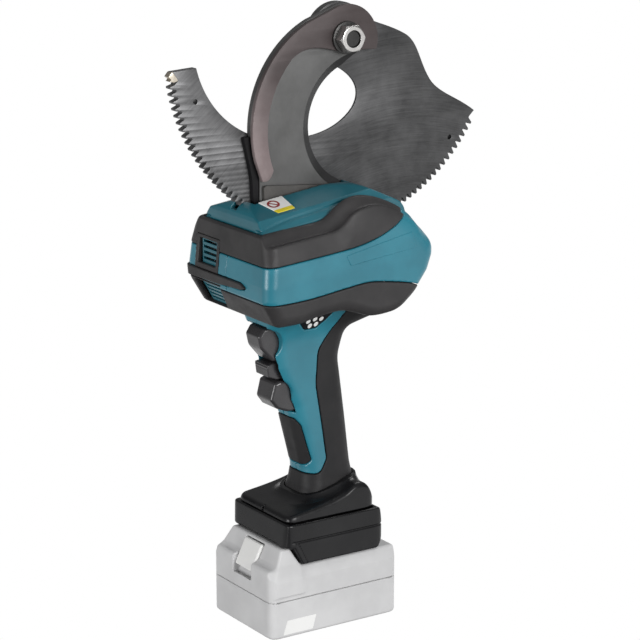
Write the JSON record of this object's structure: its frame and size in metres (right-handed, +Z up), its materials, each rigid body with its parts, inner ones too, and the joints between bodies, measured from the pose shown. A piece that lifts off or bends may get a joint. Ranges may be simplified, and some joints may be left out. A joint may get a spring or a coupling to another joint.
{
  "type": "cordless ratchet cable cutter",
  "caption": "Cordless ratcheting cable cutter with a hook blade, a toothed swinging blade, a pistol grip and a slide-on battery.",
  "frame": {"origin": "on the battery's flat base, straight below the middle of the handle's foot", "axes": "+Z up from the battery to the blades, -Y towards the triggers and the nose, +X towards the blade bolt's nut"},
  "size_m": [0.106, 0.2442, 0.4245],
  "materials": {
    "teal_plastic": "satin moulded",
    "black_plastic": "fine textured overmould",
    "dark_steel": "ground and oiled",
    "brown_steel": "worn coating",
    "bright_steel": "machined",
    "pale_plastic": "moulded",
    "white_plastic": "smooth",
    "circuit_board": "lacquered"
  },
  "bodies": {
    "tool": {"fixed_blade": "dark_steel", "arm_plate": "brown_steel", "wear_strip": "black_plastic", "root_guard": "brown_steel", "pivot_bolt": "dark_steel", "pivot_washer": "bright_steel", "pivot_nut": "bright_steel", "side_plate_left": "bright_steel", "side_plate_right": "bright_steel", "root_bolt_front": "bright_steel", "root_bolt_rear": "bright_steel", "drive_pawl_pin": "bright_steel", "holding_pawl_pin": "bright_steel", "drive_pawl_spring": "bright_steel", "holding_pawl_spring": "bright_steel", "crank_bearing_left": "bright_steel", "crank_bearing_right": "bright_steel", "motor_can": "dark_steel", "gearbox_case": "dark_steel", "control_board": "circuit_board", "handle_left": "teal_plastic", "handle_right": "teal_plastic", "rear_grip": "black_plastic", "front_grip_pad": "black_plastic", "indicator_panel": "black_plastic", "upper_switch": "black_plastic", "lower_switch": "black_plastic", "housing_left": "teal_plastic", "housing_right": "teal_plastic", "upper_bumper": "black_plastic", "lower_bumper": "black_plastic", "top_deck": "teal_plastic", "nose_cover": "black_plastic", "nose_bar": "black_plastic", "upper_vent_grille": "teal_plastic", "lower_vent_grille": "teal_plastic", "label_plate": "white_plastic", "foot_upper": "black_plastic", "foot_lower": "black_plastic", "terminal_block": "black_plastic"},
    "blade": {"moving_blade": "dark_steel", "pivot_bushing": "bright_steel"},
    "drive_pawl": {"drive_pawl": "dark_steel"},
    "holding_pawl": {"holding_pawl": "dark_steel"},
    "rotor": {"motor_rotor": "bright_steel"},
    "crank": {"crank_shaft": "bright_steel"},
    "upper_trigger": {"upper_trigger": "black_plastic"},
    "lower_trigger": {"lower_trigger": "black_plastic"},
    "selector": {"selector_button": "black_plastic"},
    "battery": {"battery_lower_case": "pale_plastic", "battery_upper_case": "pale_plastic", "battery_cells": "bright_steel"},
    "battery_latch": {"battery_latch": "white_plastic"}
  },
  "joints": [
    {"name": "blade_swing", "type": "hinge", "parent": "tool", "child": "blade", "pos_m": [0, 0.0285, 0.4015], "axis": [1, 0, 0], "range_deg": [-45, 125]},
    {"name": "drive_pawl_lift", "type": "hinge", "parent": "tool", "child": "drive_pawl", "pos_m": [0, 0.054, 0.255], "axis": [1, 0, 0], "range_deg": [0, 8], "stiffness_Nm_per_rad": 0.1, "springref_deg": -5.73},
    {"name": "holding_pawl_lift", "type": "hinge", "parent": "tool", "child": "holding_pawl", "pos_m": [0, 0, 0.255], "axis": [-1, 0, 0], "range_deg": [0, 8], "stiffness_Nm_per_rad": 0.1, "springref_deg": -5.73},
    {"name": "rotor_spin", "type": "hinge", "parent": "tool", "child": "rotor", "pos_m": [-0.031, 0, 0.25], "axis": [0, 1, 0], "continuous": true},
    {"name": "crank_spin", "type": "hinge", "parent": "tool", "child": "crank", "pos_m": [0, 0.028, 0.24], "axis": [1, 0, 0], "continuous": true},
    {"name": "upper_trigger_pull", "type": "slide", "parent": "tool", "child": "upper_trigger", "axis": [0, 1, 0], "range_m": [0, 0.004], "stiffness_N_per_m": 1000, "springref_m": -0.002},
    {"name": "lower_trigger_pull", "type": "slide", "parent": "tool", "child": "lower_trigger", "axis": [0, 1, 0], "range_m": [0, 0.004], "stiffness_N_per_m": 1000, "springref_m": -0.002},
    {"name": "selector_slide", "type": "slide", "parent": "tool", "child": "selector", "axis": [1, 0, 0], "range_m": [-0.003, 0.003]},
    {"name": "battery_slide", "type": "slide", "parent": "tool", "child": "battery", "axis": [0, -1, 0], "range_m": [0, 0.1]},
    {"name": "latch_press", "type": "slide", "parent": "battery", "child": "battery_latch", "axis": [0, -0.4446, -0.8957], "range_m": [0, 0.004], "stiffness_N_per_m": 800, "springref_m": -0.002}
  ],
  "couplings": [
    {"joint": "crank_spin", "follows": "rotor_spin", "ratio": 0.02}
  ]
}
